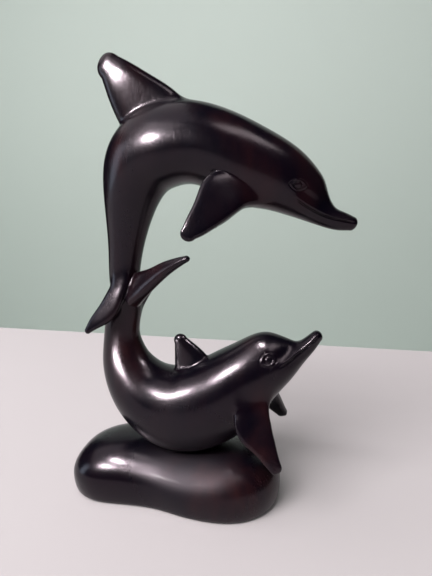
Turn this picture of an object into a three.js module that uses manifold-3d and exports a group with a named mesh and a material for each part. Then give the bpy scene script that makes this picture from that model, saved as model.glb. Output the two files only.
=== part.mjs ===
// Two leaping dolphins carved, together with the rounded rock they rise from, out of one block
// of dark hardwood. The upper dolphin arches over to the right, the lower one curls along the
// top of the rock, and their tails grow into each other on the left.
// Millimetres, +Z up. X runs along the rock, and the viewer stands on the -Y side.

import * as THREE from "three";
import { mergeVertices } from "three/addons/utils/BufferGeometryUtils.js";
import Module from "manifold-3d";

const wasm = await Module();
wasm.setup();

// Driving sizes.
const FIGURE_HEIGHT = 262; // from the top of the rock to the tip of the upper back fin
const ROCK_LENGTH = 155;
const ROCK_DEPTH = 77;
const ROCK_HEIGHT = 41;
const MOUTH_WIDTH = 1.6; // of the line cut between the jaws
const MOUTH_DEPTH = 1.4;
const EYE_RADIUS = 2.6; // to the middle of the ring cut round each eye
const EYE_RING_WIDTH = 1.4;

// Every station of the figures is in hundredths of their height, measured from the rock's top.
const UNIT = FIGURE_HEIGHT / 100;
const TAIL_CAP = 2; // how far each rounded end runs on past its last station, in the same unit
const BEAK_CAP = 1.4;
const ROOT_CAP = 1;

// How finely the solids are faceted.
const BODY_SIDES = 20;
const FIN_SIDES = 10;
const RINGS_PER_STATION = 2;
const CUT_SIDES = 4;
const EYE_STEPS = 10;
const CAP_RINGS = 3;
const ROCK_SIDES = 32;
const ROCK_RINGS = 22;

// A body station is [x, z, depth to the back, depth to the belly, half width, crest], from the
// tail to the beak. Crest is how far the back's side of a section narrows towards its top, as a
// share of its width.
const UPPER_BODY = [
  [-17.0, 39.5, 3.2, 3.2, 3.6, 0],
  [-16.6, 45.5, 4.0, 4.0, 3.7, 0],
  [-15.7, 52.5, 4.6, 4.6, 4.0, 0],
  [-14.6, 59.5, 5.7, 5.7, 4.7, 0],
  [-13.1, 66.6, 7.4, 7.2, 6.2, 0],
  [-10.2, 72.4, 10.1, 8.0, 7.8, 0],
  [-5.6, 76.3, 11.4, 8.6, 9.2, 0],
  [0.4, 78.1, 10.9, 8.8, 9.6, 0],
  [6.6, 77.9, 9.9, 9.1, 9.6, 0],
  [12.6, 75.9, 9.3, 9.4, 9.4, 0],
  [18.9, 72.6, 9.2, 9.1, 8.8, 0],
  [24.3, 69.8, 8.5, 7.6, 7.9, 0],
  [28.6, 67.0, 7.2, 6.0, 6.6, 0.08],
  [31.8, 64.7, 5.6, 4.7, 5.1, 0.15],
  [34.5, 62.9, 3.2, 3.8, 3.5, 0.3],
  [36.9, 61.5, 2.0, 3.1, 2.8, 0.4],
  [39.2, 60.6, 1.8, 2.6, 2.4, 0.4],
  [41.3, 59.9, 1.5, 1.9, 1.9, 0.2],
];
const LOWER_BODY = [
  [-15.6, 43.5, 3.0, 3.0, 3.4, 0],
  [-17.0, 37.0, 4.6, 4.6, 3.6, 0],
  [-18.2, 30.5, 4.9, 4.9, 4.2, 0],
  [-18.1, 25.0, 6.0, 6.0, 5.0, 0],
  [-17.0, 20.2, 7.4, 7.4, 6.2, 0],
  [-14.4, 15.4, 9.0, 9.0, 7.8, 0],
  [-10.3, 11.4, 10.6, 10.6, 9.4, 0],
  [-4.8, 8.9, 11.7, 11.9, 10.6, 0],
  [1.4, 8.8, 12.4, 11.8, 11.0, 0],
  [7.4, 11.4, 12.2, 11.2, 10.8, 0],
  [13.1, 16.0, 10.8, 10.5, 10.0, 0],
  [18.4, 20.4, 9.4, 8.8, 8.8, 0],
  [22.6, 23.2, 8.9, 7.1, 7.5, 0.05],
  [25.9, 25.2, 7.7, 5.6, 6.2, 0.12],
  [28.5, 26.8, 4.8, 4.2, 4.3, 0.3],
  [30.6, 28.2, 2.1, 3.1, 3.1, 0.42],
  [32.5, 29.8, 1.5, 2.4, 2.4, 0.42],
  [34.3, 31.5, 1.4, 1.7, 1.8, 0.2],
];

// A fin station is [x, y, z, breadth to one edge, breadth to the other, half thickness], from
// the root inside the body to the tip. The plate's side looks along `face`. Squareness is 2 for
// an oval section, and more for flat sides with rounded edges.
const UPPER_BACK_FIN = {
  face: [0, 1, 0],
  squareness: 2.8,
  stations: [
    [-0.4, 0, 79.0, 9.5, 7.5, 2.8],
    [-4.6, 0, 85.4, 9.8, 7.0, 2.9],
    [-9.2, 0, 90.4, 8.3, 5.5, 3.0],
    [-13.2, 0, 94.4, 5.9, 4.1, 3.0],
    [-16.2, 0, 97.2, 3.6, 3.0, 2.5],
  ],
};
const LOWER_BACK_FIN = {
  face: [0, 1, 0],
  squareness: 2,
  stations: [
    [2.6, 0, 19.6, 6.4, 5.4, 2.6],
    [1.4, 0, 22.6, 5.2, 4.6, 2.1],
    [0.0, 0, 25.5, 3.6, 3.4, 1.7],
    [-1.4, 0, 28.3, 1.9, 1.9, 1.3],
  ],
};
const UPPER_NEAR_FLIPPER = {
  face: [0.2, -0.9, 0.35],
  squareness: 4,
  stations: [
    [22.6, -2.0, 67.4, 2.6, 3.0, 2.2],
    [19.4, -4.5, 67.6, 3.4, 3.7, 2.1],
    [16.1, -7.2, 67.8, 3.9, 4.2, 1.9],
    [12.9, -9.8, 66.6, 5.8, 4.7, 1.6],
    [9.9, -12.2, 63.9, 3.8, 4.4, 1.3],
    [7.4, -14.2, 60.8, 2.4, 3.1, 1.1],
    [5.8, -15.2, 58.9, 1.6, 1.9, 0.9],
  ],
};
const UPPER_FAR_SIDE = -0.78; // its far flipper, against the near one's 1
const LOWER_NEAR_FLIPPER = {
  face: [0.2, -0.95, 0.25],
  squareness: 4,
  stations: [
    [19.6, -2.4, 20.0, 3.4, 3.0, 2.4],
    [19.4, -5.2, 16.4, 4.2, 3.6, 2.2],
    [19.2, -8.2, 13.0, 4.6, 4.1, 2.0],
    [19.9, -10.4, 9.6, 4.4, 4.4, 1.7],
    [22.0, -12.0, 6.6, 2.8, 3.5, 1.4],
    [24.0, -13.0, 4.0, 2.1, 2.3, 1.2],
    [25.3, -13.6, 2.1, 1.6, 1.7, 1.0],
  ],
};
const UPPER_NEAR_FLUKE = {
  face: [-0.3, -0.95, 0.1],
  squareness: 3,
  stations: [
    [-15.3, -0.6, 50.6, 2.0, 2.0, 1.6],
    [-15.8, -2.0, 46.0, 2.2, 2.4, 1.6],
    [-17.5, -3.8, 41.6, 2.4, 2.8, 1.5],
    [-19.9, -5.4, 37.6, 2.2, 3.2, 1.2],
    [-22.5, -6.5, 34.5, 1.8, 1.9, 1.0],
    [-24.5, -7.3, 32.2, 1.0, 0.7, 0.7],
  ],
};
const LOWER_NEAR_FLUKE = {
  face: [-0.4, -0.7, 0.6],
  squareness: 3,
  stations: [
    [-13.4, -2.4, 40.9, 3.4, 5.0, 2.2],
    [-10.4, -3.8, 44.0, 3.8, 4.2, 1.9],
    [-6.8, -5.0, 46.7, 3.2, 2.4, 1.6],
    [-2.8, -6.3, 49.2, 2.1, 1.7, 1.3],
    [0.9, -7.4, 51.1, 1.3, 1.0, 1.0],
    [3.4, -8.1, 52.1, 0.7, 0.6, 0.7],
  ],
};
const LOWER_FAR_FLUKE = {
  face: [-0.4, 0.7, 0.6],
  squareness: 3,
  stations: [
    [-16.0, 0.5, 34.0, 2.0, 2.0, 2.0],
    [-14.7, 2.0, 37.6, 2.6, 2.2, 2.0],
    [-13.0, 3.8, 40.5, 2.4, 1.9, 1.7],
    [-10.9, 5.6, 43.0, 1.8, 1.4, 1.2],
    [-9.1, 7.6, 44.6, 1.0, 0.8, 0.8],
  ],
};

// The line between the jaws, [x, y, z] on the near cheek from its corner to the beak's tip, and
// the way that its cut faces.
const UPPER_MOUTH = {
  face: [0.35, 0, 0.94],
  line: [
    [27.6, -6.6, 66.4],
    [29.8, -5.3, 64.7],
    [32.6, -4.0, 62.9],
    [35.3, -3.1, 61.6],
    [38.0, -2.6, 60.8],
    [40.4, -2.0, 60.3],
    [42.0, -1.0, 60.0],
    [42.6, 0, 59.9],
  ],
};
const LOWER_MOUTH = {
  face: [-0.75, 0, 0.66],
  line: [
    [25.0, -6.7, 24.7],
    [27.1, -5.4, 25.7],
    [29.2, -4.0, 27.1],
    [31.3, -2.9, 28.7],
    [33.2, -2.1, 30.3],
    [34.6, -1.2, 31.8],
    [35.3, 0, 32.5],
  ],
};

// The near eyes, and the way that each faces.
const UPPER_EYE = { at: [29.1, -6.4, 68.7], face: [0.36, -0.93, 0] };
const LOWER_EYE = { at: [22.8, -6.2, 26.8], face: [0.1, -0.87, 0.48] };

const ROCK = {
  // Shares of the rock's depth from its middle line to its front and its back, and of its
  // height, at even steps from the left end to the right one, before its ends are rounded off.
  front: [0.6, 0.54, 0.47, 0.45, 0.5, 0.55, 0.58, 0.56],
  back: [0.48, 0.48, 0.48, 0.48, 0.48, 0.48, 0.48, 0.48],
  top: [0.92, 0.97, 0.93, 0.86, 0.85, 0.94, 1.05, 1.06],
  leftSquareness: 2.8,
  rightSquareness: 2.5,
  sectionSquareness: 2.25,
  middle: -0.062, // its centre along X, as a share of its length
};
const ROCK_BULGE = 0.32; // the height, as a share, at which the rock is widest
const ROCK_UNDERCUT = 0.9; // how far its lower half would reach down, were it not cut flat

const squared = (value, power) => Math.sign(value) * Math.abs(value) ** (2 / power);

// A swept solid: oval or squared sections set square to a smooth spine through the stations, with
// a rounded cap on each end. A station is {at, up, down, side, crest}: side is the section's half
// width along `across`, up and down are how far it reaches square to that, on its two sides, and
// crest is how far its width shrinks towards the top.
function loft(stations, across, { sides, perStation, squareness = 2, startCap, endCap }) {
  const spine = new THREE.CatmullRomCurve3(stations.map((s) => s.at), false, "catmullrom", 0.5);
  const girth = new THREE.CatmullRomCurve3(
    stations.map((s) => new THREE.Vector3(s.up, s.down, s.side)),
    false,
    "catmullrom",
    0.5,
  );
  const crests = new THREE.CatmullRomCurve3(
    stations.map((s, i) => new THREE.Vector3(i, s.crest ?? 0, 0)),
    false,
    "catmullrom",
    0.5,
  );
  const count = (stations.length - 1) * perStation;
  const rings = [];
  const addRing = (t, shift, shrink) => {
    const centre = spine.getPoint(t);
    const size = girth.getPoint(t);
    const crest = crests.getPoint(t).y;
    const along = spine.getTangent(t);
    const side = across.clone().addScaledVector(along, -across.dot(along)).normalize();
    const up = new THREE.Vector3().crossVectors(along, side);
    const ring = [];
    for (let i = 0; i < sides; i++) {
      const angle = (i / sides) * 2 * Math.PI;
      const rise = squared(Math.sin(angle), squareness);
      const half = rise > 0 ? size.x : size.y;
      const wide = size.z * (1 - crest * Math.max(rise, 0));
      ring.push(
        centre
          .clone()
          .addScaledVector(along, shift)
          .addScaledVector(side, squared(Math.cos(angle), squareness) * wide * shrink)
          .addScaledVector(up, rise * half * shrink),
      );
    }
    rings.push(ring);
  };
  // A cap is a quarter of an ellipse that runs on past the end by `length`.
  for (let k = 1; k <= CAP_RINGS; k++) {
    const turn = (k / (CAP_RINGS + 1)) * (Math.PI / 2);
    addRing(0, -startCap * Math.cos(turn), Math.sin(turn));
  }
  for (let k = 0; k <= count; k++) addRing(k / count, 0, 1);
  for (let k = CAP_RINGS; k >= 1; k--) {
    const turn = (k / (CAP_RINGS + 1)) * (Math.PI / 2);
    addRing(1, endCap * Math.cos(turn), Math.sin(turn));
  }
  const first = spine.getPoint(0).addScaledVector(spine.getTangent(0), -startCap);
  const last = spine.getPoint(1).addScaledVector(spine.getTangent(1), endCap);
  return closed(rings, first, last);
}

// Joins rings of points into one closed solid, with a point at each end.
function closed(rings, first, last) {
  const points = [first, ...rings.flat(), last];
  const sides = rings[0].length;
  const at = (ring, i) => 1 + ring * sides + (i % sides);
  const faces = [];
  const end = rings.length - 1;
  for (let i = 0; i < sides; i++) {
    faces.push(0, at(0, i), at(0, i + 1));
    faces.push(points.length - 1, at(end, i + 1), at(end, i));
    for (let ring = 0; ring < end; ring++) {
      faces.push(at(ring, i), at(ring + 1, i), at(ring + 1, i + 1));
      faces.push(at(ring, i), at(ring + 1, i + 1), at(ring, i + 1));
    }
  }
  const geometry = new THREE.BufferGeometry().setFromPoints(points);
  geometry.setIndex(faces);
  return solid(geometry);
}

// A closed three.js geometry as a solid that can be joined and cut, turned to face out.
function solid(geometry) {
  const bare = geometry.clone();
  bare.deleteAttribute("normal");
  bare.deleteAttribute("uv");
  const merged = mergeVertices(bare, 1e-4);
  const vertProperties = new Float32Array(merged.attributes.position.array);
  const triVerts = new Uint32Array(merged.index.array);
  const made = new wasm.Manifold(new wasm.Mesh({ numProp: 3, vertProperties, triVerts }));
  if (made.volume() > 0) return made;
  for (let i = 0; i < triVerts.length; i += 3) {
    [triVerts[i + 1], triVerts[i + 2]] = [triVerts[i + 2], triVerts[i + 1]];
  }
  return new wasm.Manifold(new wasm.Mesh({ numProp: 3, vertProperties, triVerts }));
}

// A point given in the figures' own units, above the rock.
function place(x, y, z) {
  return new THREE.Vector3(x * UNIT, y * UNIT, ROCK_HEIGHT + z * UNIT);
}

function body(stations) {
  const rows = stations.map(([x, z, back, belly, wide, crest]) => ({
    at: place(x, 0, z),
    up: back * UNIT,
    down: belly * UNIT,
    side: wide * UNIT,
    crest,
  }));
  return loft(rows, new THREE.Vector3(0, 1, 0), {
    sides: BODY_SIDES,
    perStation: RINGS_PER_STATION,
    startCap: TAIL_CAP * UNIT,
    endCap: BEAK_CAP * UNIT,
  });
}

// mirror is 1 for the near side of the figure and -1 for the far side, or nearer to 0 for a fin
// that lies closer to the body.
function fin({ face, squareness, stations }, mirror = 1) {
  const rows = stations.map(([x, y, z, one, other, thick]) => ({
    at: place(x, y * mirror, z),
    up: (mirror > 0 ? one : other) * Math.abs(mirror) * UNIT,
    down: (mirror > 0 ? other : one) * Math.abs(mirror) * UNIT,
    side: thick * UNIT,
  }));
  const across = new THREE.Vector3(face[0], face[1] * mirror, face[2]).normalize();
  const [, , , one, other] = stations[stations.length - 1];
  return loft(rows, across, {
    sides: FIN_SIDES,
    perStation: RINGS_PER_STATION,
    squareness,
    startCap: ROOT_CAP * UNIT,
    endCap: ((one + other) / 2) * UNIT,
  });
}

// A value on the smooth curve through evenly spaced ones, for u from -1 to 1.
function along(values, u) {
  const line = values.map((value, i) => new THREE.Vector3(i, value, 0));
  return new THREE.CatmullRomCurve3(line, false, "catmullrom", 0.5).getPoint((u + 1) / 2).y;
}

function rock() {
  const rings = [];
  for (let k = 1; k < ROCK_RINGS; k++) {
    const u = -Math.cos((k / ROCK_RINGS) * Math.PI);
    const power = u < 0 ? ROCK.leftSquareness : ROCK.rightSquareness;
    const ends = (1 - Math.abs(u) ** power) ** (1 / power);
    const front = along(ROCK.front, u) * ROCK_DEPTH * ends;
    const back = along(ROCK.back, u) * ROCK_DEPTH * ends;
    const bulge = ROCK_BULGE * ROCK_HEIGHT;
    const top = along(ROCK.top, u) * ROCK_HEIGHT * ends - bulge * ends;
    const under = ROCK_UNDERCUT * ROCK_HEIGHT * ends;
    const ring = [];
    for (let i = 0; i < ROCK_SIDES; i++) {
      const angle = (i / ROCK_SIDES) * 2 * Math.PI;
      const across = squared(Math.cos(angle), ROCK.sectionSquareness);
      const rise = squared(Math.sin(angle), ROCK.sectionSquareness);
      ring.push(
        new THREE.Vector3(
          (ROCK.middle + u / 2) * ROCK_LENGTH,
          (back - front) / 2 + (across * (front + back)) / 2,
          bulge + rise * (rise > 0 ? top : under),
        ),
      );
    }
    rings.push(ring);
  }
  const tip = (u) =>
    new THREE.Vector3((ROCK.middle + u / 2) * ROCK_LENGTH, 0, ROCK_BULGE * ROCK_HEIGHT);
  const pebble = closed(rings, tip(-1), tip(1));
  const below = new THREE.BoxGeometry(2 * ROCK_LENGTH, 2 * ROCK_DEPTH, 2 * ROCK_HEIGHT);
  return pebble.subtract(solid(below.translate(0, 0, -ROCK_HEIGHT)));
}

// The cut between the jaws runs round the beak from one corner of the mouth to the other.
function mouth({ face, line }) {
  const far = line.slice(0, -1).reverse();
  const route = [...line, ...far.map(([x, y, z]) => [x, -y, z])];
  const rows = route.map(([x, y, z]) => ({
    at: place(x, y, z),
    up: MOUTH_DEPTH,
    down: MOUTH_DEPTH,
    side: MOUTH_WIDTH / 2,
  }));
  return loft(rows, new THREE.Vector3(...face).normalize(), {
    sides: CUT_SIDES,
    perStation: 1,
    startCap: MOUTH_WIDTH,
    endCap: MOUTH_WIDTH,
  });
}

// The ring cut round an eye, on the near side or, mirrored, on the far side.
function eye({ at, face }, mirror = 1) {
  const ring = new THREE.TorusGeometry(EYE_RADIUS, EYE_RING_WIDTH / 2, CUT_SIDES, EYE_STEPS);
  const outwards = new THREE.Vector3(face[0], face[1] * mirror, face[2]).normalize();
  const turn = new THREE.Quaternion().setFromUnitVectors(new THREE.Vector3(0, 0, 1), outwards);
  const centre = place(at[0], at[1] * mirror, at[2]);
  return solid(ring.applyQuaternion(turn).translate(...centre.toArray()));
}

const uncut = [
  rock(),
  body(UPPER_BODY),
  body(LOWER_BODY),
  fin(UPPER_BACK_FIN),
  fin(LOWER_BACK_FIN),
  fin(UPPER_NEAR_FLIPPER),
  fin(UPPER_NEAR_FLIPPER, UPPER_FAR_SIDE),
  fin(LOWER_NEAR_FLIPPER),
  fin(LOWER_NEAR_FLIPPER, -1),
  fin(UPPER_NEAR_FLUKE),
  fin(UPPER_NEAR_FLUKE, -1),
  fin(LOWER_NEAR_FLUKE),
  fin(LOWER_FAR_FLUKE),
].reduce((whole, piece) => whole.add(piece));

const carving = [
  mouth(UPPER_MOUTH),
  mouth(LOWER_MOUTH),
  eye(UPPER_EYE),
  eye(UPPER_EYE, -1),
  eye(LOWER_EYE),
  eye(LOWER_EYE, -1),
].reduce((whole, cut) => whole.subtract(cut), uncut);

// A joined solid as a three.js geometry.
function geometryOf(made) {
  const mesh = made.getMesh();
  const geometry = new THREE.BufferGeometry();
  geometry.setAttribute("position", new THREE.BufferAttribute(mesh.vertProperties, 3));
  geometry.setIndex(new THREE.BufferAttribute(mesh.triVerts, 1));
  geometry.computeVertexNormals();
  return geometry;
}

const wood = new THREE.MeshStandardMaterial({ color: 0x1c1314, roughness: 0.3, metalness: 0 });
const sculpture = new THREE.Mesh(geometryOf(carving), wood);
sculpture.name = "dolphin_sculpture";

// It stands on its flat underside, with the middle of its box over the origin.
const box = new THREE.Box3().setFromBufferAttribute(sculpture.geometry.attributes.position);
sculpture.position.set(-(box.min.x + box.max.x) / 2, -(box.min.y + box.max.y) / 2, 0);

const part = new THREE.Group();
part.add(sculpture);
export default part;
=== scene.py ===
# The looks of a wood carving: two leaping dolphins and the rounded rock that they rise from, cut
# from one block of dark hardwood and polished. The carving is described as a smooth solid, the
# distance of any point from its surface, and that surface becomes the mesh.
# Millimetres inside the script, metres in Blender. +Z is up, the heads point to +X and the
# viewer stands on the -Y side.

import math

import bpy
import numpy as np
from mathutils import Matrix, Vector


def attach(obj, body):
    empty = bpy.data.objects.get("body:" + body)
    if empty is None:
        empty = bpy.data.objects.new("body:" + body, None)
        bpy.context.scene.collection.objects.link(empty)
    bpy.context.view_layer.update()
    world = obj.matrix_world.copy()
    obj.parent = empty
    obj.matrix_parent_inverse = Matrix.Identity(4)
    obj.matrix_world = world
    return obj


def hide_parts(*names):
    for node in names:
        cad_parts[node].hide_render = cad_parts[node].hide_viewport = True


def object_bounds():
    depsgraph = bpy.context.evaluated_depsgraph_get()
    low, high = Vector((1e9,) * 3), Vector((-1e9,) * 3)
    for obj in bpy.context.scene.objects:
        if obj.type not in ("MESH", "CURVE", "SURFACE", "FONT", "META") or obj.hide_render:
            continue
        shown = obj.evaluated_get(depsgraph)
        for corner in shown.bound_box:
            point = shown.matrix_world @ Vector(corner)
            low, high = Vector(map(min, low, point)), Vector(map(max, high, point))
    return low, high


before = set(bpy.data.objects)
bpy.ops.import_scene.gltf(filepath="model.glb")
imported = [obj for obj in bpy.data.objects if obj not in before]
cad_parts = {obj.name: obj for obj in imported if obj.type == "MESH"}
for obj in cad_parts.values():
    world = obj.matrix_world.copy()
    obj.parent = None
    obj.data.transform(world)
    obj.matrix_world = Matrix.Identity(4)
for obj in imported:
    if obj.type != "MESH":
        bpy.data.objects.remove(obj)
CAD_LOW, CAD_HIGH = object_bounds()
MM = 0.001

# Driving sizes, as in the model's own source.
ROCK_HEIGHT = 41
FIGURE_HEIGHT = 262  # from the top of the rock to the tip of the upper back fin
ROCK_LENGTH = 155
ROCK_DEPTH = 77
UNIT = FIGURE_HEIGHT / 100  # stations are in hundredths of the figures' height
TAIL_CAP = 2  # how far each rounded end runs on past its last station, in the same unit
BEAK_CAP = 1.4
ROOT_CAP = 1

# How far the forms melt into each other where they meet, in millimetres.
TAIL_BLEND = 4.0
BACK_FIN_BLEND = 2.0
FLIPPER_BLEND = 0.9
FLUKE_BLEND = 1.6
ROCK_BLEND = 1.6
FOOT_ROUNDING = 3.0

# Some forms melt into the body more and more along X or Z, from one place in the figures' unit to
# another, up to the widest blend.
BACK_FIN_MELT = {"axis": 0, "start": -6.0, "end": 3.0, "widest": 5.0}
UPPER_FLIPPER_MELT = {"axis": 0, "start": 16.0, "end": 21.0, "widest": 4.0}
LOWER_FLIPPER_MELT = {"axis": 2, "start": 11.0, "end": 16.0, "widest": 6.0}
UPPER_FLUKE_MELT = {"axis": 2, "start": 40.0, "end": 46.0, "widest": 3.5}
FAR_FLUKE_MELT = {"axis": 2, "start": 42.0, "end": 36.0, "widest": 3.0}

# The forms that go along each mouth: how far above its line each lies, how wide it is and how high
# it stands. The cheek's hollow is there near the corner alone.
LIP = {"at": 1.4, "width": 1.2, "height": 0.9}
GROOVE = {"at": 0.0, "width": 0.55, "height": -1.1}
JAW_HOLLOW = {"at": -2.4, "width": 1.8, "height": -0.35}
CHEEK_HOLLOW = {"at": 5.6, "width": 2.6, "height": -1.1}
MOUTH_FADE = 9.0  # how long the mouth takes to reach its full depth, from its corner
TIP_FADE = 7.0  # and how long it takes to run out at the tip of the beak
CHEEK_START = -6.0  # where the cheek's hollow starts, is deepest and ends, along the mouth
CHEEK_DEEPEST = 4.0
CHEEK_END = 24.0
MOUTH_REACH = 8.0  # how far round the line its forms are worked out
MOUTH_FINE_AT = 0.5  # the strip of fine mesh along the mouth: its middle above the line
MOUTH_FINE_HALF = 2.4  # and how far it reaches to each side of that

# An eye: a round ball in a ring, between lids that meet in a corner on each side.
EYE_BALL = 1.9
EYE_BALL_HEIGHT = 0.25
EYE_RING = 0.38
EYE_RING_DEPTH = 0.85
LID_HEIGHT = 0.35
LID_WIDTH = 0.16  # as a share of the eye's opening
LID_CREASE = 1.45  # where the crease round the lids lies, in the same share
LID_CREASE_DEPTH = 0.35
LID_POWER = 1.6  # 2 would be an oval opening, and less has sharper corners
EYE_REACH = 10.0
EYE_FINE_MARGIN = 2.0  # how far the fine mesh reaches past the lids

# The hand-carved unevenness of the surface.
WAVE_SEED = 3
WAVE_COUNT = 7
WAVE_LENGTHS = 20.0, 60.0
WAVE_HEIGHT = 0.035

# How the surface is looked for and meshed.
GRID_STEP = 1.7
REFININGS = 2
RELAXINGS = 2
GRID_MARGIN = 4.0  # how far the grid reaches past the rock
GRID_HALF_DEPTH = 50.0
SPINE_MARGIN = 12.0  # how far the grid reaches past the figures' spines
BLOCK_REACH = 1.6  # a block further than this many of its widths from the surface is left rough
FINE_EDGE = 0.55  # round the mouths and eyes
BENT_EDGE = 0.9  # where the surface bends sharply
SHARP_BEND = 0.035  # one less the cosine of the angle between the two ends of an edge
FAR = 12.0  # distances beyond this are not worked out
SLOPE_STEP = 0.05  # how far apart the points are that a slope is taken from
ROCK_SLOPE_STEP = 0.2
LEAST_SLOPE = 0.05  # the square of a slope is taken as no less than this
SMALL = 1e-6  # in place of zero, in what a number is divided by
SHORTEST = 1e-9  # the same, for the length of a direction
INSIDE = 0.9999  # how much of the model's box the carving may fill

# A body station is [x, z, depth to the back, depth to the belly, half width, crest], from the
# tail to the beak. Crest is how far the back's side of a section narrows towards its top, as a
# share of its width.
UPPER_BODY = [
    [-17.0, 39.5, 3.2, 3.2, 3.6, 0],
    [-16.6, 45.5, 4.0, 4.0, 3.7, 0],
    [-15.7, 52.5, 4.6, 4.6, 4.0, 0],
    [-14.6, 59.5, 5.7, 5.7, 4.7, 0],
    [-13.1, 66.6, 7.4, 7.2, 6.2, 0],
    [-10.2, 72.4, 10.1, 8.0, 7.8, 0],
    [-5.6, 76.3, 11.4, 8.6, 9.2, 0],
    [0.4, 78.1, 10.9, 8.8, 9.6, 0],
    [6.6, 77.9, 9.9, 9.1, 9.6, 0],
    [12.6, 75.9, 9.3, 9.4, 9.4, 0],
    [18.9, 72.6, 9.2, 9.1, 8.8, 0],
    [24.3, 69.8, 8.5, 7.6, 7.9, 0],
    [28.6, 67.0, 7.2, 6.0, 6.6, 0.08],
    [31.8, 64.7, 5.6, 4.7, 5.1, 0.15],
    [34.5, 62.9, 3.2, 3.8, 3.5, 0.3],
    [36.9, 61.5, 2.0, 3.1, 2.8, 0.4],
    [39.2, 60.6, 1.8, 2.6, 2.4, 0.4],
    [41.3, 59.9, 1.5, 1.9, 1.9, 0.2],
]
LOWER_BODY = [
    [-15.6, 43.5, 3.0, 3.0, 3.4, 0],
    [-17.0, 37.0, 4.6, 4.6, 3.6, 0],
    [-18.2, 30.5, 4.9, 4.9, 4.2, 0],
    [-18.1, 25.0, 6.0, 6.0, 5.0, 0],
    [-17.0, 20.2, 7.4, 7.4, 6.2, 0],
    [-14.4, 15.4, 9.0, 9.0, 7.8, 0],
    [-10.3, 11.4, 10.6, 10.6, 9.4, 0],
    [-4.8, 8.9, 11.7, 11.9, 10.6, 0],
    [1.4, 8.8, 12.4, 11.8, 11.0, 0],
    [7.4, 11.4, 12.2, 11.2, 10.8, 0],
    [13.1, 16.0, 10.8, 10.5, 10.0, 0],
    [18.4, 20.4, 9.4, 8.8, 8.8, 0],
    [22.6, 23.2, 8.9, 7.1, 7.5, 0.05],
    [25.9, 25.2, 7.7, 5.6, 6.2, 0.12],
    [28.5, 26.8, 4.8, 4.2, 4.3, 0.3],
    [30.6, 28.2, 2.1, 3.1, 3.1, 0.42],
    [32.5, 29.8, 1.5, 2.4, 2.4, 0.42],
    [34.3, 31.5, 1.4, 1.7, 1.8, 0.2],
]

# A fin station is [x, y, z, breadth to one edge, breadth to the other, half thickness], from
# the root inside the body to the tip. The plate's side looks along "face". Squareness is 2 for
# an oval section, and more for flat sides with rounded edges.
UPPER_BACK_FIN = {
    "face": [0, 1, 0],
    "squareness": 2.8,
    "stations": [
        [-0.4, 0, 79.0, 9.5, 7.5, 2.8],
        [-4.6, 0, 85.4, 9.8, 7.0, 2.9],
        [-9.2, 0, 90.4, 8.3, 5.5, 3.0],
        [-13.2, 0, 94.4, 5.9, 4.1, 3.0],
        [-16.2, 0, 97.2, 3.6, 3.0, 2.5],
    ],
}
LOWER_BACK_FIN = {
    "face": [0, 1, 0],
    "squareness": 2,
    "stations": [
        [2.6, 0, 19.6, 6.4, 5.4, 2.6],
        [1.4, 0, 22.6, 5.2, 4.6, 2.1],
        [0.0, 0, 25.5, 3.6, 3.4, 1.7],
        [-1.4, 0, 28.3, 1.9, 1.9, 1.3],
    ],
}
UPPER_NEAR_FLIPPER = {
    "face": [0.2, -0.9, 0.35],
    "squareness": 4,
    "stations": [
        [22.6, -2.0, 67.4, 2.6, 3.0, 2.2],
        [19.4, -4.5, 67.6, 3.4, 3.7, 2.1],
        [16.1, -7.2, 67.8, 3.9, 4.2, 1.9],
        [12.9, -9.8, 66.6, 5.8, 4.7, 1.6],
        [9.9, -12.2, 63.9, 3.8, 4.4, 1.3],
        [7.4, -14.2, 60.8, 2.4, 3.1, 1.1],
        [5.8, -15.2, 58.9, 1.6, 1.9, 0.9],
    ],
}
UPPER_FAR_SIDE = -0.78  # its far flipper, against the near one's 1
LOWER_NEAR_FLIPPER = {
    "face": [0.2, -0.95, 0.25],
    "squareness": 4,
    "stations": [
        [19.6, -2.4, 20.0, 3.4, 3.0, 2.4],
        [19.4, -5.2, 16.4, 4.2, 3.6, 2.2],
        [19.2, -8.2, 13.0, 4.6, 4.1, 2.0],
        [19.9, -10.4, 9.6, 4.4, 4.4, 1.7],
        [22.0, -12.0, 6.6, 2.8, 3.5, 1.4],
        [24.0, -13.0, 4.0, 2.1, 2.3, 1.2],
        [25.3, -13.6, 2.1, 1.6, 1.7, 1.0],
    ],
}
UPPER_NEAR_FLUKE = {
    "face": [-0.3, -0.95, 0.1],
    "squareness": 3,
    "stations": [
        [-15.3, -0.6, 50.6, 2.0, 2.0, 1.6],
        [-15.8, -2.0, 46.0, 2.2, 2.4, 1.6],
        [-17.5, -3.8, 41.6, 2.4, 2.8, 1.5],
        [-19.9, -5.4, 37.6, 2.2, 3.2, 1.2],
        [-22.5, -6.5, 34.5, 1.8, 1.9, 1.0],
        [-24.5, -7.3, 32.2, 1.0, 0.7, 0.7],
    ],
}
LOWER_NEAR_FLUKE = {
    "face": [-0.4, -0.7, 0.6],
    "squareness": 3,
    "stations": [
        [-13.4, -2.4, 40.9, 3.4, 5.0, 2.2],
        [-10.4, -3.8, 44.0, 3.8, 4.2, 1.9],
        [-6.8, -5.0, 46.7, 3.2, 2.4, 1.6],
        [-2.8, -6.3, 49.2, 2.1, 1.7, 1.3],
        [0.9, -7.4, 51.1, 1.3, 1.0, 1.0],
        [3.4, -8.1, 52.1, 0.7, 0.6, 0.7],
    ],
}
LOWER_FAR_FLUKE = {
    "face": [-0.4, 0.7, 0.6],
    "squareness": 3,
    "stations": [
        [-16.0, 0.5, 34.0, 2.0, 2.0, 2.0],
        [-14.7, 2.0, 37.6, 2.6, 2.2, 2.0],
        [-13.0, 3.8, 40.5, 2.4, 1.9, 1.7],
        [-10.9, 5.6, 43.0, 1.8, 1.4, 1.2],
        [-9.1, 7.6, 44.6, 1.0, 0.8, 0.8],
    ],
}

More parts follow.
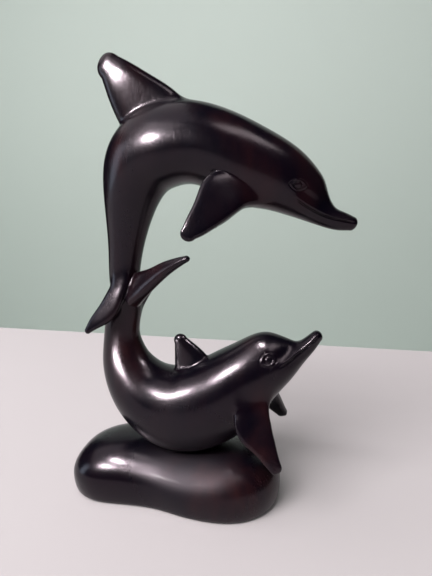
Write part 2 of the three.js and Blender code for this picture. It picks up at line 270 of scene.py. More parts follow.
# The line between the jaws, [x, y, z] on the near cheek from its corner to the beak's tip, and
# the way that its cut faces.
UPPER_MOUTH = {
    "face": [0.35, 0, 0.94],
    "line": [
        [27.6, -6.6, 66.4],
        [29.8, -5.3, 64.7],
        [32.6, -4.0, 62.9],
        [35.3, -3.1, 61.6],
        [38.0, -2.6, 60.8],
        [40.4, -2.0, 60.3],
        [42.0, -1.0, 60.0],
        [42.6, 0, 59.9],
    ],
}
LOWER_MOUTH = {
    "face": [-0.75, 0, 0.66],
    "line": [
        [25.0, -6.7, 24.7],
        [27.1, -5.4, 25.7],
        [29.2, -4.0, 27.1],
        [31.3, -2.9, 28.7],
        [33.2, -2.1, 30.3],
        [34.6, -1.2, 31.8],
        [35.3, 0, 32.5],
    ],
}

# The near eyes: the way that each faces, half the length and height of its opening in millimetres,
# and how far it tilts in degrees.
UPPER_EYE = {
    "at": [29.1, -6.4, 68.7],
    "face": [0.36, -0.93, 0],
    "half_length": 4.6,
    "half_height": 2.8,
    "tilt": 8,
}
LOWER_EYE = {
    "at": [22.8, -6.2, 26.8],
    "face": [0.1, -0.87, 0.48],
    "half_length": 4.8,
    "half_height": 4.0,
    "tilt": -25,
}

ROCK = {
    # Shares of the rock's depth from its middle line to its front and its back, and of its
    # height, at even steps from the left end to the right one, before its ends are rounded off.
    "front": [0.6, 0.54, 0.47, 0.45, 0.5, 0.55, 0.58, 0.56],
    "back": [0.48, 0.48, 0.48, 0.48, 0.48, 0.48, 0.48, 0.48],
    "top": [0.92, 0.97, 0.93, 0.86, 0.85, 0.94, 1.05, 1.06],
    "left_squareness": 2.8,
    "right_squareness": 2.5,
    "section_squareness": 2.25,
    "middle": -0.062,  # its centre along X, as a share of its length
    "bulge": 0.32,  # the height, as a share, at which it is widest
    "undercut": 0.9,  # how far its lower half would reach down, were it not cut flat
}


class Curve:
    """The smooth curve through evenly spaced rows of numbers."""

    def __init__(self, rows):
        self.rows = np.array(rows, float)
        self.last = len(rows) - 1
        system = np.eye(len(rows))
        bends = np.zeros_like(self.rows)
        for i in range(1, self.last):
            system[i, i - 1 : i + 2] = 1, 4, 1
            bends[i] = 6 * (self.rows[i - 1] - 2 * self.rows[i] + self.rows[i + 1])
        self.bends = np.linalg.solve(system, bends)

    def at(self, t):
        """The place, its rate of change and the rate's own change."""
        i = np.clip(t.astype(int), 0, self.last - 1)
        after = (t - i)[:, None]
        before = 1 - after
        low, high = self.rows[i], self.rows[i + 1]
        low_bend, high_bend = self.bends[i], self.bends[i + 1]
        place = before * low + after * high
        place += ((before**3 - before) * low_bend + (after**3 - after) * high_bend) / 6
        rate = high - low
        rate = rate + ((3 * after**2 - 1) * high_bend - (3 * before**2 - 1) * low_bend) / 6
        return place, rate, before * low_bend + after * high_bend


def dot(a, b):
    return np.einsum("ij,ij->i", a, b)


def unit(v):
    return v / np.maximum(np.linalg.norm(v, axis=1), SHORTEST)[:, None]


class Sweep:
    """A solid with oval or squared sections set square to a smooth spine, and rounded ends."""

    SAMPLES = 10  # on each stretch of the spine, to start looking for the nearest place
    TRIES = 4  # at coming nearer to it
    LONGEST_STEP = 0.1  # along the spine, in one try
    LEAST_CHANGE = 0.1  # of the slope towards it, as a share of the spine's squared rate
    BATCH = 40000  # points worked out at once
    CORE = 1e-3  # the share of a section that counts as its middle

    def __init__(self, spine, sizes, across, start_cap, end_cap, squareness=2):
        self.spine = Curve(spine)
        self.sizes = Curve(sizes)
        self.across = np.array(across, float)
        self.caps = start_cap, end_cap
        self.squareness = squareness
        self.places = np.linspace(0, self.spine.last, self.spine.last * self.SAMPLES + 1)
        self.marks = self.spine.at(self.places)[0]
        reach = self.sizes.rows[:, :3].max() + max(self.caps) + FAR
        self.low, self.high = self.marks.min(0) - reach, self.marks.max(0) + reach

    def distance(self, points):
        result = np.full(len(points), 2 * FAR)
        near = ((points > self.low) & (points < self.high)).all(1).nonzero()[0]
        for part in np.array_split(near, max(1, len(near) // self.BATCH)):
            result[part] = self.distance_near(points[part])
        return result

    def distance_near(self, points):
        gaps = (self.marks**2).sum(1) - 2 * points @ self.marks.T
        t = self.places[gaps.argmin(1)]
        for _ in range(self.TRIES):
            place, rate, turn = self.spine.at(t)
            off = points - place
            square = dot(rate, rate)
            change = np.minimum(dot(off, turn) - square, -self.LEAST_CHANGE * square)
            step = np.clip(dot(off, rate) / change, -self.LONGEST_STEP, self.LONGEST_STEP)
            t = np.clip(t - step, 0, self.spine.last)
        place, rate, _ = self.spine.at(t)
        off = points - place
        along = unit(rate)
        side = unit(self.across - along * (along @ self.across)[:, None])
        out = np.cross(along, side)
        x, y, past = dot(off, side), dot(off, out), dot(off, along)
        back, belly, wide, crest = self.sizes.at(t)[0].T
        lean = 0.5 + 0.5 * y / np.maximum(np.hypot(x, y), SMALL)
        deep = belly + (back - belly) * lean
        wide = wide * (1 - crest * np.clip(y / deep, 0, 1))
        cap = np.where(past > 0, self.caps[1], self.caps[0])
        x, y, past = np.abs(x / wide), np.abs(y / deep), past / cap
        power = self.squareness
        section = (x**power + y**power) ** (1 / power)
        reach = np.hypot(section, past)
        spread = np.maximum(section, SMALL) ** (1 - power)
        slope = np.hypot(x ** (power - 1) * spread / wide, y ** (power - 1) * spread / deep)
        slope = np.hypot(section * slope, past / cap)
        outside = reach * (reach - 1) / np.maximum(slope, SMALL)
        return np.where(reach > self.CORE, outside, -deep)


def place(x, y, z):
    """A point given in the figures' own units, above the rock."""
    return [x * UNIT, y * UNIT, ROCK_HEIGHT + z * UNIT]


def body(stations):
    spine = [place(x, 0, z) for x, z, *_ in stations]
    sizes = [[back * UNIT, belly * UNIT, wide * UNIT, crest]
             for _, _, back, belly, wide, crest in stations]
    return Sweep(spine, sizes, [0, 1, 0], TAIL_CAP * UNIT, BEAK_CAP * UNIT)


def fin(form, mirror=1):
    """mirror is 1 for the near side of the figure and -1 for the far side, or nearer to 0 for a
    fin that is narrower and lies closer to the body."""
    stations = form["stations"]
    face = np.array(form["face"]) * [1, mirror, 1]
    face = face / np.linalg.norm(face)
    spine = [place(x, y * mirror, z) for x, y, z, *_ in stations]
    breadth = UNIT * abs(mirror)
    sizes = [[one * breadth, other * breadth, thick * UNIT, 0]
             for *_, one, other, thick in stations]
    if mirror < 0:
        sizes = [[other, one, thick, crest] for one, other, thick, crest in sizes]
    tip = (stations[-1][3] + stations[-1][4]) / 2 * UNIT
    return Sweep(spine, sizes, face, ROOT_CAP * UNIT, tip, form["squareness"])


class Rock:
    """The rounded rock: squared ovals across it, on a squared oval along it."""

    def __init__(self):
        shares = np.transpose([ROCK["front"], ROCK["back"], ROCK["top"]])
        self.shares = Curve(shares)

    def level(self, points):
        """0 on the surface and -1 in the middle."""
        u = 2 * (points[:, 0] / ROCK_LENGTH - ROCK["middle"])
        t = np.clip((u + 1) / 2, 0, 1) * self.shares.last
        front, back, top = self.shares.at(t)[0].T
        power = np.where(u < 0, ROCK["left_squareness"], ROCK["right_squareness"])
        across = ROCK["section_squareness"]
        middle = (back - front) / 2 * ROCK_DEPTH
        half = (front + back) / 2 * ROCK_DEPTH
        bulge = ROCK["bulge"] * ROCK_HEIGHT
        rise = points[:, 2] - bulge
        height = np.where(rise > 0, top * ROCK_HEIGHT - bulge, ROCK["undercut"] * ROCK_HEIGHT)
        section = np.abs((points[:, 1] - middle) / half) ** across
        section = (section + np.abs(rise / height) ** across) ** (power / across)
        return (section + np.abs(u) ** power) ** (1 / power) - 1

    def distance(self, points):
        value, slope = slope_of(self.level, points, ROCK_SLOPE_STEP)
        return value / np.maximum(np.linalg.norm(slope, axis=1), 1 / ROCK_LENGTH)


CORNERS = np.array([[1, -1, -1], [-1, -1, 1], [-1, 1, -1], [1, 1, 1]])


def slope_of(field, points, step=SLOPE_STEP):
    """A field's value and its slope, from four points close by."""
    value = np.zeros(len(points))
    slope = np.zeros((len(points), 3))
    for corner in CORNERS:
        sample = field(points + corner * step)
        value += sample / 4
        slope += sample[:, None] * corner / (4 * step)
    return value, slope


def join(a, b, blend):
    """The union of two solids, with a hollow fillet where they meet."""
    near = np.maximum(blend - np.abs(a - b), 0) / blend
    return np.minimum(a, b) - near**2 * blend / 4


def cut(a, b, blend):
    """What two solids share, with a rounded edge."""
    return -join(-a, -b, blend)


def smooth(share):
    """Rises from 0 to 1 as the share does, level at both ends."""
    share = np.clip(share, 0, 1)
    return share * share * (3 - 2 * share)


def bump(distance, width):
    return np.exp(-((distance / width) ** 2))


def melting(points, blend, melt):
    """The blend at each point."""
    if melt is None:
        return blend
    start, end = (melt[key] * UNIT + (ROCK_HEIGHT if melt["axis"] == 2 else 0)
                  for key in ("start", "end"))
    share = smooth((points[:, melt["axis"]] - start) / (end - start))
    return blend + (melt["widest"] - blend) * share


FIGURES = [
    (body(UPPER_BODY), TAIL_BLEND, None),
    (body(LOWER_BODY), TAIL_BLEND, None),
    (fin(UPPER_BACK_FIN), BACK_FIN_BLEND, BACK_FIN_MELT),
    (fin(LOWER_BACK_FIN), BACK_FIN_BLEND, None),
    (fin(UPPER_NEAR_FLIPPER), FLIPPER_BLEND, UPPER_FLIPPER_MELT),
    (fin(UPPER_NEAR_FLIPPER, UPPER_FAR_SIDE), FLIPPER_BLEND, UPPER_FLIPPER_MELT),
    (fin(LOWER_NEAR_FLIPPER), FLIPPER_BLEND, LOWER_FLIPPER_MELT),
    (fin(LOWER_NEAR_FLIPPER, -1), FLIPPER_BLEND, LOWER_FLIPPER_MELT),
    (fin(UPPER_NEAR_FLUKE), FLUKE_BLEND, UPPER_FLUKE_MELT),
    (fin(UPPER_NEAR_FLUKE, -1), FLUKE_BLEND, UPPER_FLUKE_MELT),
    (fin(LOWER_NEAR_FLUKE), FLUKE_BLEND, None),
    (fin(LOWER_FAR_FLUKE), FLUKE_BLEND, FAR_FLUKE_MELT),
]
THE_ROCK = Rock()


class Mouth:
    """The line between the jaws, seen square from the side, with the forms that go along it."""

    SAMPLES = 12

    def __init__(self, form):
        profile = [[place(x, y, z)[0], place(x, y, z)[2]] for x, y, z in form["line"]]
        curve = Curve(profile)
        t = np.linspace(0, curve.last, curve.last * self.SAMPLES + 1)
        self.marks, rates, _ = curve.at(t)
        self.ways = unit(rates)
        steps = np.linalg.norm(np.diff(self.marks, axis=0), axis=1)
        self.run = np.concatenate([[0], np.cumsum(steps)])
        self.low = self.marks.min(0) - MOUTH_REACH
        self.high = self.marks.max(0) + MOUTH_REACH

    def measure(self, points):
        """How far above the line each point is, and how far along from its corner."""
        flat = points[:, [0, 2]]
        gaps = (self.marks**2).sum(1) - 2 * flat @ self.marks.T
        nearest = gaps.argmin(1)
        off = flat - self.marks[nearest]
        way = self.ways[nearest]
        above = off[:, 1] * way[:, 0] - off[:, 0] * way[:, 1]
        return above, self.run[nearest] + dot(off, way)

    def near(self, points):
        flat = points[:, [0, 2]]
        return ((flat > self.low) & (flat < self.high)).all(1).nonzero()[0]

    def relief(self, points):
        above, run = self.measure(points)
        raised = 0
        for part in (LIP, GROOVE, JAW_HOLLOW):
            raised = raised + part["height"] * bump(above - part["at"], part["width"])
        raised = raised * smooth(run / MOUTH_FADE) * smooth((self.run[-1] - run) / TIP_FADE)
        cheek = smooth((run - CHEEK_START) / (CHEEK_DEEPEST - CHEEK_START))
        cheek = cheek * smooth((CHEEK_END - run) / (CHEEK_END - CHEEK_DEEPEST))
        hollow = bump(above - CHEEK_HOLLOW["at"], CHEEK_HOLLOW["width"])
        return raised + CHEEK_HOLLOW["height"] * hollow * cheek

    def wanted(self, points):
        above, run = self.measure(points)
        near = (np.abs(above - MOUTH_FINE_AT) < MOUTH_FINE_HALF) & (run > 0)
        return np.where(near, FINE_EDGE, np.inf)


class Eye:
    """A carved eye, with its long way along the head."""

    def __init__(self, form, mirror):
        x, y, z = form["at"]
        self.at = np.array(place(x, y * mirror, z))
        face = np.array(form["face"]) * [1, mirror, 1]
        face = face / np.linalg.norm(face)
        level = np.cross([0, 0, 1], face) * mirror
        level = level / np.linalg.norm(level)
        rise = np.cross(face, level) * mirror
        tilt = math.radians(form["tilt"])
        self.long = -level * math.cos(tilt) + rise * math.sin(tilt)
        self.high = level * math.sin(tilt) + rise * math.cos(tilt)
        self.halves = form["half_length"], form["half_height"]

    def near(self, points):
        return (np.linalg.norm(points - self.at, axis=1) < EYE_REACH).nonzero()[0]

    def relief(self, points):
        off = points - self.at
        across, up = off @ self.long, off @ self.high
        length, height = self.halves
        round_the_ball = np.hypot(across, up)
        ball = EYE_BALL_HEIGHT * np.maximum(1 - (round_the_ball / EYE_BALL) ** 2, 0)
        ring = EYE_RING_DEPTH * bump(round_the_ball - EYE_BALL - EYE_RING, EYE_RING)
        opening = np.abs(across / length) ** LID_POWER + np.abs(up / height) ** LID_POWER
        lids = LID_HEIGHT * bump(opening - 1, LID_WIDTH)
        crease = LID_CREASE_DEPTH * bump(opening - LID_CREASE, LID_WIDTH)
        return ball - ring + lids - crease

    def wanted(self, points):
        off = points - self.at
        length, height = self.halves
        across = off @ self.long / (length + EYE_FINE_MARGIN)
        up = off @ self.high / (height + EYE_FINE_MARGIN)
        return np.where(across**2 + up**2 < 1, FINE_EDGE, np.inf)


DETAILS = [Mouth(UPPER_MOUTH), Mouth(LOWER_MOUTH)]
DETAILS += [Eye(form, mirror) for form in (UPPER_EYE, LOWER_EYE) for mirror in (1, -1)]


def make_waves():
    """Directions and starts of the slow waves that leave the surface slightly uneven."""
    chance = np.random.default_rng(WAVE_SEED)
    ways = unit(chance.normal(size=(WAVE_COUNT, 3)))
    lengths = np.geomspace(*WAVE_LENGTHS, WAVE_COUNT)
    return ways * (2 * math.pi / lengths)[:, None], chance.uniform(0, 2 * math.pi, WAVE_COUNT)


WAVES, WAVE_STARTS = make_waves()


def relief(points):
    """How far the carved details stand out of the plain forms."""
    raised = WAVE_HEIGHT * np.sin(points @ WAVES.T + WAVE_STARTS).sum(1)
    for detail in DETAILS:
        near = detail.near(points)
        raised[near] += detail.relief(points[near])
    return raised


def wanted_edge(points):
    """How long the mesh's edges may be."""
    wanted = np.full(len(points), np.inf)
    for detail in DETAILS:
        near = detail.near(points)
        wanted[near] = np.minimum(wanted[near], detail.wanted(points[near]))
    return wanted


def carving(points):
    whole = FIGURES[0][0].distance(points)
    for form, blend, melt in FIGURES[1:]:
        whole = join(whole, form.distance(points), melting(points, blend, melt))
    rock = cut(THE_ROCK.distance(points), -points[:, 2], FOOT_ROUNDING)
    whole = join(whole, rock, ROCK_BLEND)
    return whole - relief(points) * smooth(points[:, 2] / FOOT_ROUNDING)


def grid_of(field, low, high, step, coarse=4):
    """The field on a grid, worked out in full only near the surface."""
    blocks = np.ceil((high - low) / (step * coarse)).astype(int)
    axes = [low[i] + np.arange(blocks[i] + 1) * step * coarse for i in range(3)]
    rough = field(np.stack(np.meshgrid(*axes, indexing="ij"), -1).reshape(-1, 3))
    rough = rough.reshape(blocks + 1)
    near = np.zeros(blocks, bool)
    for i in range(8):
        corner = tuple(slice((i >> k) & 1, ((i >> k) & 1) + blocks[k]) for k in range(3))
        near |= np.abs(rough[corner]) < step * coarse * BLOCK_REACH
    picks = [np.minimum((np.arange(n * coarse + 1) + coarse // 2) // coarse, n) for n in blocks]
    values = rough[np.ix_(*picks)].copy()
    wanted = np.zeros(values.shape, bool)
    full = near.repeat(coarse, 0).repeat(coarse, 1).repeat(coarse, 2)
    for i in range(8):
        corner = tuple(slice((i >> k) & 1, ((i >> k) & 1) + full.shape[k]) for k in range(3))
        wanted[corner] |= full
    index = np.argwhere(wanted)
    values[wanted] = field(low + index * step)
    return values


def skin_of(values, low, step):
    """The surface where a grid's values pass zero, as one point in each cell that it crosses."""
    inside = values < 0
    cells = np.array(values.shape) - 1
    sums = np.zeros((cells.prod(), 3))
    counts = np.zeros(cells.prod())
    quads = []
    for axis in range(3):
        u, v = (axis + 1) % 3, (axis + 2) % 3
        lower = tuple(slice(0, -1) if k == axis else slice(1, -1) for k in range(3))
        upper = tuple(slice(1, None) if k == axis else slice(1, -1) for k in range(3))
        index = np.argwhere(inside[lower] != inside[upper])
        index[:, u] += 1
        index[:, v] += 1
        ahead = index.copy()
        ahead[:, axis] += 1
        a, b = values[tuple(index.T)], values[tuple(ahead.T)]
        crossing = index.astype(float)
        crossing[:, axis] += a / (a - b)
        corners = []
        for du, dv in ((-1, -1), (0, -1), (0, 0), (-1, 0)):
            cell = index.copy()
            cell[:, u] += du
            cell[:, v] += dv
            flat = np.ravel_multi_index(tuple(cell.T), cells)
            for k in range(3):
                sums[:, k] += np.bincount(flat, crossing[:, k], len(counts))
            counts += np.bincount(flat, minlength=len(counts))
            corners.append(flat)
        corners = np.stack(corners, 1)
        quads.append(np.where((a < 0)[:, None], corners, corners[:, ::-1]))
    quads = np.concatenate(quads)
    used = counts > 0
    number = np.cumsum(used) - 1
    points = low + sums[used] / counts[used, None] * step
    quads = number[quads]
    return points, np.concatenate([quads[:, [0, 1, 2]], quads[:, [0, 2, 3]]])


def settle(points, times=2):
    """Moves points onto the carving's surface, and returns them with its outward directions."""
    for _ in range(times):
        value, slope = slope_of(carving, points)
        square = np.maximum(dot(slope, slope), LEAST_SLOPE)
        points = points - slope * (value / square)[:, None]
    return points, unit(slope)


def edges_of(faces):
    """Every edge once, and for each face the numbers of its three edges."""
    pairs = np.sort(np.concatenate([faces[:, [0, 1]], faces[:, [1, 2]], faces[:, [2, 0]]]), 1)
    edges, which = np.unique(pairs, axis=0, return_inverse=True)
    return edges, which.reshape(3, -1).T


def relax(points, faces, outwards, amount=0.5):
    """Evens out the spacing of points without moving them off the surface."""
    edges, _ = edges_of(faces)
    sums = np.zeros_like(points)
    counts = np.bincount(edges.ravel(), minlength=len(points))
    for k in range(3):
        sums[:, k] = np.bincount(edges[:, 0], points[edges[:, 1], k], len(points))
        sums[:, k] += np.bincount(edges[:, 1], points[edges[:, 0], k], len(points))
    move = sums / counts[:, None] - points
    return points + amount * (move - outwards * dot(move, outwards)[:, None])


def refine(points, outwards, faces):
    """Splits the edges that are longer than wanted, and settles their middles."""
    edges, sides = edges_of(faces)
    ends = points[edges]
    lengths = np.linalg.norm(ends[:, 0] - ends[:, 1], axis=1)
    bends = 1 - dot(outwards[edges[:, 0]], outwards[edges[:, 1]])
    middles = ends.mean(1)
    wanted = wanted_edge(middles)
    wanted = np.where(bends > SHARP_BEND, np.minimum(wanted, BENT_EDGE), wanted)
    split = lengths > wanted
    number = np.full(len(edges), -1)
    number[split] = len(points) + np.arange(split.sum())
    fresh, fresh_outwards = settle(middles[split])
    points = np.concatenate([points, fresh])
    outwards = np.concatenate([outwards, fresh_outwards])
    cuts = number[sides]
    counts = (cuts >= 0).sum(1)
    made = [faces[counts == 0]]
    for turn in range(3):
        a, b, c = np.roll(faces, -turn, 1).T
        ab, bc, ca = np.roll(cuts, -turn, 1).T
        one = (counts == 1) & (ab >= 0)
        made += [pick(one, a, ab, c), pick(one, ab, b, c)]
        two = (counts == 2) & (ca < 0)
        made += [pick(two, ab, b, bc), pick(two, a, ab, bc), pick(two, a, bc, c)]
    a, b, c = faces.T
    ab, bc, ca = cuts.T
    three = counts == 3
    made += [pick(three, a, ab, ca), pick(three, ab, b, bc), pick(three, bc, c, ca)]
    made.append(pick(three, ab, bc, ca))
    return points, outwards, np.concatenate(made)


def pick(rows, a, b, c):
    return np.stack([a[rows], b[rows], c[rows]], 1)


def carve_mesh():
    far_right, _, top = np.concatenate([form.marks for form, _, _ in FIGURES]).max(0) + SPINE_MARGIN
    left = (ROCK["middle"] - 0.5) * ROCK_LENGTH - GRID_MARGIN
    low = np.array([left, -GRID_HALF_DEPTH, -GRID_MARGIN])
    high = np.array([far_right, GRID_HALF_DEPTH, top])
    values = grid_of(carving, low, high, GRID_STEP)
    points, faces = skin_of(values, low, GRID_STEP)
    points, outwards = settle(points)
    for _ in range(RELAXINGS):
        points = relax(points, faces, outwards)
        points, outwards = settle(points, 1)
    for _ in range(REFININGS):
        points, outwards, faces = refine(points, outwards, faces)
    return points, faces


def mesh_object(name, points, faces):
    mesh = bpy.data.meshes.new(name)
    mesh.from_pydata((points * MM).tolist(), [], faces.tolist())
    mesh.update()
    mesh.polygons.foreach_set("use_smooth", [True] * len(mesh.polygons))
    piece = bpy.data.objects.new(name, mesh)
    bpy.context.scene.collection.objects.link(piece)
    return piece


points, faces = carve_mesh()

# The carving stands with the middle of its box over the origin, inside the model's own box.
middle = (points.min(0) + points.max(0)) / 2
SHIFT = np.array([middle[0], middle[1], 0])
points = points - SHIFT
LIMIT = INSIDE * np.minimum(-np.array(CAD_LOW), np.array(CAD_HIGH)) / MM
LIMIT[2] = INSIDE * CAD_HIGH[2] / MM
points[:, 2] -= points[:, 2].min()
points *= np.minimum(1, LIMIT / np.abs(points).max(0))

dolphins = mesh_object("carving", points, faces)

# The wood's colours, and the tilt of its grain from upright in degrees.
BLACK_WOOD = 0.0014, 0.0010, 0.0034
BROWN_WOOD = 0.0036, 0.0014, 0.0036
RED_WOOD = 0.022, 0.0060, 0.0068
GRAIN_TILT = 14

# The noises in the wood: how each is stretched along X, Y and Z, its scale for a metre, its detail
# and its roughness, and whether it tilts with the grain.
BANDS = {"stretch": (1, 1, 0.16), "scale": 85, "detail": 5, "roughness": 0.6, "grain": True}
PATCHES = {"stretch": (1, 1, 0.6), "scale": 19, "detail": 2, "roughness": 0.5, "grain": False}
SMEARS = {"stretch": (1, 1, 0.5), "scale": 34, "detail": 4, "roughness": 0.6, "grain": False}
FINE_WEAR = {"stretch": (1, 1, 0.22), "scale": 900, "detail": 3, "roughness": 0.7, "grain": True}
PORES = {"stretch": (1, 1, 0.10), "scale": 1500, "detail": 2, "roughness": 0.6, "grain": True}
DENTS = {"stretch": (1, 1, 1), "scale": 160, "detail": 3, "roughness": 0.55, "grain": False}

# Where each noise starts and ends to tell.
BANDS_RANGE = 0.40, 0.66
PATCHES_RANGE = 0.52, 0.70
SMEARS_RANGE = 0.35, 0.7
FINE_WEAR_RANGE = 0.3, 0.7
PORES_RANGE = 0.30, 0.48

# The polish, and its fine relief in metres.
RED_IN_BLACK = 0.35  # how far a red patch shows in the blackest bands, against 1 in the brownest
POLISH_ROUGHNESS = 0.205, 0.275
FINE_ROUGHNESS = 0.02  # how much the fine wear adds or takes away
PORE_SHARE = 0.25  # the pores' relief, as a share of the dents'
BUMP_STRENGTH = 0.12
BUMP_HEIGHT = 0.0006
SPECULAR_LEVEL = 0.26
SPECULAR_TINT = 1.0, 0.86, 0.96
COAT_WEIGHT = 0.06
COAT_ROUGHNESS = 0.12
RUBBED_AT = -0.006, -0.026, 0.036  # where the rock is rubbed dull, in metres
RUBBED_REACH = 0.012, 0.048  # fully dull up to the first distance from there, and not at the second
RUBBED_ROUGHNESS = 0.36  # how much rougher it is there


def wood_material():
    """Near-black hardwood under a thin polish, redder in places, with fine pores and wear."""
    material = bpy.data.materials.new("dark_polished_wood")
    material.use_nodes = True
    nodes, links = material.node_tree.nodes, material.node_tree.links
    shader = nodes["Principled BSDF"]
    where = nodes.new("ShaderNodeTexCoord").outputs["Object"]

    def noise(form):
        tilt = math.radians(GRAIN_TILT) if form["grain"] else 0
        mapping = nodes.new("ShaderNodeMapping")
        mapping.inputs["Scale"].default_value = form["stretch"]
        mapping.inputs["Rotation"].default_value = (0, tilt, 0)
        links.new(where, mapping.inputs["Vector"])
        texture = nodes.new("ShaderNodeTexNoise")
        texture.inputs["Scale"].default_value = form["scale"]
        texture.inputs["Detail"].default_value = form["detail"]
        texture.inputs["Roughness"].default_value = form["roughness"]
        links.new(mapping.outputs["Vector"], texture.inputs["Vector"])
        return texture.outputs["Fac"]

    def between(value, low, high, to_low=0.0, to_high=1.0):
        node = nodes.new("ShaderNodeMapRange")
        for name, number in zip(
            ("From Min", "From Max", "To Min", "To Max"), (low, high, to_low, to_high)
        ):
            node.inputs[name].default_value = number
        links.new(value, node.inputs["Value"])
        return node.outputs["Result"]

    def mixed(share, first, second):
        node = nodes.new("ShaderNodeMix")
        node.data_type = "RGBA"
        links.new(share, node.inputs["Factor"])
        for socket, colour in ((node.inputs["A"], first), (node.inputs["B"], second)):
            if isinstance(colour, tuple):
                socket.default_value = (*colour, 1)
            else:
                links.new(colour, socket)
        return node.outputs["Result"]

    def combined(operation, first, second):
        node = nodes.new("ShaderNodeMath")
        node.operation = operation
        for socket, value in zip(node.inputs, (first, second)):
            if isinstance(value, (int, float)):
                socket.default_value = value
            else:
                links.new(value, socket)
        return node.outputs["Value"]

    bands = between(noise(BANDS), *BANDS_RANGE)
    patches = between(noise(PATCHES), *PATCHES_RANGE)
    red = combined("MULTIPLY", patches, between(bands, 0, 1, RED_IN_BLACK, 1))
    stained = mixed(bands, BLACK_WOOD, BROWN_WOOD)
    links.new(mixed(red, stained, RED_WOOD), shader.inputs["Base Color"])

    distance = nodes.new("ShaderNodeVectorMath")
    distance.operation = "DISTANCE"
    distance.inputs[1].default_value = RUBBED_AT
    links.new(where, distance.inputs[0])
    rubbed = between(distance.outputs["Value"], *RUBBED_REACH, 1, 0)
    links.new(between(rubbed, 0, 1, COAT_WEIGHT, 0), shader.inputs["Coat Weight"])

    polish = between(noise(SMEARS), *SMEARS_RANGE, *POLISH_ROUGHNESS)
    fine = between(noise(FINE_WEAR), *FINE_WEAR_RANGE, -FINE_ROUGHNESS, FINE_ROUGHNESS)
    worn = combined("ADD", polish, fine)
    worn = combined("ADD", worn, combined("MULTIPLY", rubbed, RUBBED_ROUGHNESS))
    links.new(worn, shader.inputs["Roughness"])

    pores = between(noise(PORES), *PORES_RANGE)
    height = combined("ADD", combined("MULTIPLY", pores, PORE_SHARE), noise(DENTS))
    raised = nodes.new("ShaderNodeBump")
    raised.inputs["Strength"].default_value = BUMP_STRENGTH
    raised.inputs["Distance"].default_value = BUMP_HEIGHT
    links.new(height, raised.inputs["Height"])
    links.new(raised.outputs["Normal"], shader.inputs["Normal"])

    shader.inputs["Specular IOR Level"].default_value = SPECULAR_LEVEL
    shader.inputs["Specular Tint"].default_value = (*SPECULAR_TINT, 1)
    shader.inputs["Coat Roughness"].default_value = COAT_ROUGHNESS
    return material


dolphins.data.materials.append(wood_material())
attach(dolphins, "root")
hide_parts("dolphin_sculpture")

# The photograph's viewpoint, in millimetres and degrees.
VIEW_TURN = 12.0
VIEW_PITCH = 13.2
VIEW_ROLL = 1.0
VIEW_DISTANCE = 290.0
VIEW_HEIGHT = 221.0
VIEW_SIDE = 22.0
PHOTO_HEIGHT = 576
FOCAL_PIXELS = 433.0
SENSOR = 36.0
CLIP_METRES = 0.01, 20


def make_camera():
    turn, pitch, roll = (math.radians(v) for v in (VIEW_TURN, VIEW_PITCH, VIEW_ROLL))
    right = Vector((math.cos(turn), math.sin(turn), 0))
    ahead = Vector((-math.sin(turn), math.cos(turn), 0))
    at = -VIEW_DISTANCE * ahead + VIEW_SIDE * right + Vector((0, 0, VIEW_HEIGHT))
    at -= Vector(SHIFT)
    forward = ahead * math.cos(pitch) - Vector((0, 0, math.sin(pitch)))
    upward = ahead * math.sin(pitch) + Vector((0, 0, math.cos(pitch)))
    turned_right = right * math.cos(roll) - upward * math.sin(roll)
    turned_up = right * math.sin(roll) + upward * math.cos(roll)
    data = bpy.data.cameras.new("camera")
    data.sensor_width = SENSOR
    data.lens = SENSOR * FOCAL_PIXELS / PHOTO_HEIGHT
    data.clip_start, data.clip_end = CLIP_METRES
    camera = bpy.data.objects.new("camera", data)
    axes = Matrix((turned_right, turned_up, -forward)).transposed()
    camera.matrix_world = Matrix.Translation(at * MM) @ axes.to_4x4()
    bpy.context.scene.collection.objects.link(camera)
    bpy.context.scene.camera = camera


make_camera()

# The room, in metres: plain matt surfaces far off, and the cloth that the carving stands on.
CLOTH_COLOUR = 0.51, 0.462, 0.482
WALL_COLOUR = 0.62, 0.675, 0.645
MATT_ROUGHNESS = 1.0
MATT_SPECULAR = 0.1
FAR_OFF = 2.4  # from the carving to the walls all round
TABLE_EDGE = 0.317  # how far behind the carving the cloth ends
LOW, TALL = -1.0, 3.0  # the ground's height and the top of the walls


def plain_material(name, colour):
    material = bpy.data.materials.new(name)
    material.use_nodes = True
    shader = material.node_tree.nodes["Principled BSDF"]
    shader.inputs["Base Color"].default_value = (*colour, 1)
    shader.inputs["Roughness"].default_value = MATT_ROUGHNESS
    shader.inputs["Specular IOR Level"].default_value = MATT_SPECULAR
    return material


def plane(name, corners, material, in_gloss=True):
    """A flat piece of the room, which the polish mirrors or not."""
    mesh = bpy.data.meshes.new(name)
    mesh.from_pydata(corners, [], [(0, 1, 2, 3)])
    piece = bpy.data.objects.new(name, mesh)
    piece.data.materials.append(material)
    bpy.context.scene.collection.objects.link(piece)
    piece.visible_glossy = in_gloss


CLOTH = plain_material("pale_cloth", CLOTH_COLOUR)
WALL = plain_material("pale_wall", WALL_COLOUR)


def upright(name, x0, y0, x1, y1, in_gloss):
    corners = [(x0, y0, LOW), (x1, y1, LOW), (x1, y1, TALL), (x0, y0, TALL)]
    plane(name, corners, WALL, in_gloss)


def flat(name, y0, y1, z, material):
    corners = [(-FAR_OFF, y0, z), (FAR_OFF, y0, z), (FAR_OFF, y1, z), (-FAR_OFF, y1, z)]
    plane(name, corners, material)


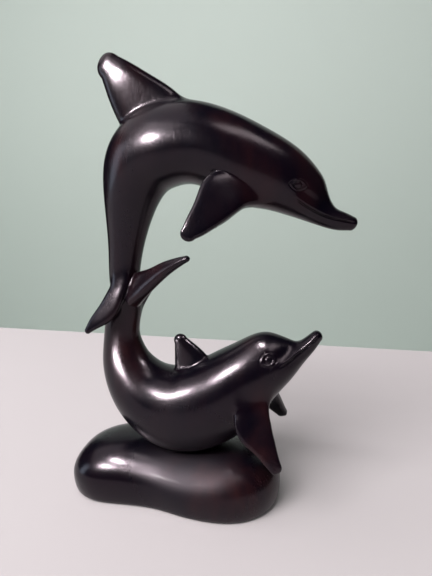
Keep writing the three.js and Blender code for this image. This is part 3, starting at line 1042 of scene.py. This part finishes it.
flat("cloth", -FAR_OFF, TABLE_EDGE, 0, CLOTH)
flat("ground", TABLE_EDGE, FAR_OFF, LOW, WALL)
upright("back_wall", -FAR_OFF, FAR_OFF, FAR_OFF, FAR_OFF, True)
upright("left_wall", -FAR_OFF, -FAR_OFF, -FAR_OFF, FAR_OFF, False)
upright("right_wall", FAR_OFF, FAR_OFF, FAR_OFF, -FAR_OFF, False)
upright("front_wall", FAR_OFF, -FAR_OFF, -FAR_OFF, -FAR_OFF, False)


def round_about(turn, rise, distance):
    """A place that far from the carving's middle, turned from the front and above the level."""
    turn, rise = math.radians(turn), math.radians(rise)
    level_way = Vector((math.sin(turn), -math.cos(turn), 0)) * math.cos(rise)
    return Vector(MIDDLE) + distance * (level_way + Vector((0, 0, math.sin(rise))))


# Where each lamp is, its size in metres, its radiance and its colour. It aims at the carving's
# middle where it names no other place, and it lights surfaces alone or shows in their gloss alone.
# The last two are small and close above the lower dolphin's brow and the left of the rock.
MIDDLE = 0, 0, 0.15
LAMP_COLOUR = 1, 0.97, 0.96
LAMPS = {
    "sky": {
        "at": round_about(-60, 62, 1.9),
        "size": (2.4, 2.4),
        "radiance": 1.4,
        "colour": (1, 0.975, 0.975),
        "lights_up": "surfaces",
    },
    "wall_wash": {
        "at": round_about(-35, 50, 2.2),
        "towards": (-0.6, 2.3, 0.6),
        "size": (2.0, 1.0),
        "radiance": 13.0,
        "colour": (1, 1, 0.98),
        "lights_up": "surfaces",
    },
    "lamp": {
        "at": (-0.30, -0.365, 0.45),
        "size": (0.10, 0.08),
        "radiance": 330,
        "colour": LAMP_COLOUR,
        "lights_up": "gloss",
    },
    "lamp_glow": {
        "at": round_about(-42, 44, 1.1),
        "size": (0.5, 0.4),
        "radiance": 3.6,
        "colour": (1, 0.96, 0.96),
        "lights_up": "gloss",
    },
    "ceiling_glow": {
        "at": round_about(-85, 58, 1.7),
        "size": (1.9, 1.5),
        "radiance": 1.1,
        "colour": (1, 0.93, 0.95),
        "lights_up": "gloss",
    },
    "window": {
        "at": round_about(-72, 10, 1.8),
        "size": (0.5, 0.9),
        "radiance": 3.4,
        "colour": (0.72, 0.86, 1),
        "lights_up": "gloss",
    },
    "right_glow": {
        "at": round_about(50, 64, 1.6),
        "size": (0.8, 0.35),
        "radiance": 6.0,
        "colour": (1, 0.94, 0.93),
        "lights_up": "gloss",
    },
    "brow_lamp": {
        "at": (0.029, -0.026, 0.175),
        "towards": (0.042, -0.009, 0.119),
        "size": (0.018, 0.006),
        "radiance": 240,
        "colour": LAMP_COLOUR,
        "lights_up": "gloss",
    },
    "rock_lamp": {
        "at": (-0.080, -0.049, 0.103),
        "towards": (-0.053, -0.024, 0.032),
        "size": (0.022, 0.011),
        "radiance": 230,
        "colour": LAMP_COLOUR,
        "lights_up": "gloss",
    },
}


def area_light(name, at, size, radiance, colour, lights_up, towards=MIDDLE):
    """A lamp that the camera doesn't see."""
    data = bpy.data.lights.new(name, "AREA")
    data.shape = "RECTANGLE"
    data.size, data.size_y = size
    data.energy = radiance * math.pi * size[0] * size[1]
    data.color = colour
    light = bpy.data.objects.new(name, data)
    at, towards = Vector(at), Vector(towards)
    turn = (towards - at).to_track_quat("-Z", "Y").to_matrix().to_4x4()
    light.matrix_world = Matrix.Translation(at) @ turn
    bpy.context.scene.collection.objects.link(light)
    light.visible_camera = False
    light.visible_glossy = lights_up == "gloss"
    light.visible_diffuse = lights_up == "surfaces"


for name, lamp in LAMPS.items():
    area_light(name, **lamp)

# The faint light from all round, and tones shown as they are lit.
ROOM_COLOUR = 0.9, 0.93, 1
ROOM_STRENGTH = 0.012
world = bpy.data.worlds.new("room")
bpy.context.scene.world = world
world.use_nodes = True
background = world.node_tree.nodes["Background"]
background.inputs["Color"].default_value = (*ROOM_COLOUR, 1)
background.inputs["Strength"].default_value = ROOM_STRENGTH
bpy.context.scene.view_settings.view_transform = "Standard"
